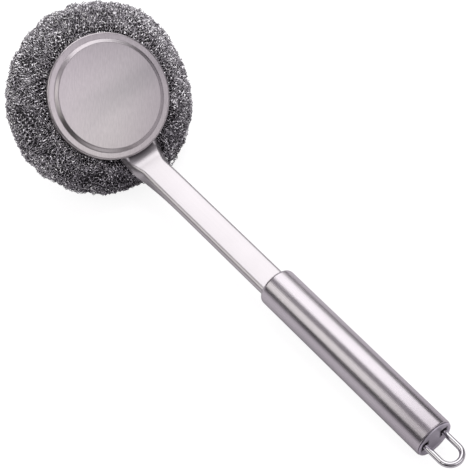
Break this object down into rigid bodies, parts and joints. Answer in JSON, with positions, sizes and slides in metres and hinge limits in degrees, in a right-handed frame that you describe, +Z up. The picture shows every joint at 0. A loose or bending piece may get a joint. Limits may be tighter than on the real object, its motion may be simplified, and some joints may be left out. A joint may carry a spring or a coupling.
{
  "type": "scourer brush",
  "caption": "Long-handled wire scourer: round knitted-wire pad under a pressed steel cap, bent channel arm, tube handle and a swinging wire hanging loop.",
  "frame": {"origin": "middle of the bounding box, on the surface that the brush lies on", "axes": "+X from the head to the hanging loop, +Z up from that surface, with the brush lying on its pad's edge and the back of its handle"},
  "size_m": [0.301, 0.098, 0.0743],
  "materials": {
    "satin_steel": "satin",
    "plate_steel": "plain rolled",
    "bright_wire": "polished",
    "knitted_wire": "knitted flat stainless wire"
  },
  "bodies": {
    "brush_body": {"head_cap": "satin_steel", "back_plate": "plate_steel", "arm": "satin_steel", "root_rivet_1": "plate_steel", "root_rivet_2": "plate_steel", "root_rivet_3": "plate_steel", "front_cap": "plate_steel", "handle_tube": "satin_steel", "end_cap": "satin_steel"},
    "pad": {"scourer_pad": "knitted_wire"},
    "loop": {"hanging_loop": "bright_wire"}
  },
  "joints": [
    {"name": "pad_pull", "type": "slide", "parent": "brush_body", "child": "pad", "axis": [-0.6947, 0, -0.7193], "range_m": [0, 0.016]},
    {"name": "loop_swing", "type": "hinge", "parent": "brush_body", "child": "loop", "pos_m": [0.13061, 0, 0.0101], "axis": [0, 1, 0], "range_deg": [-12, 12]}
  ]
}
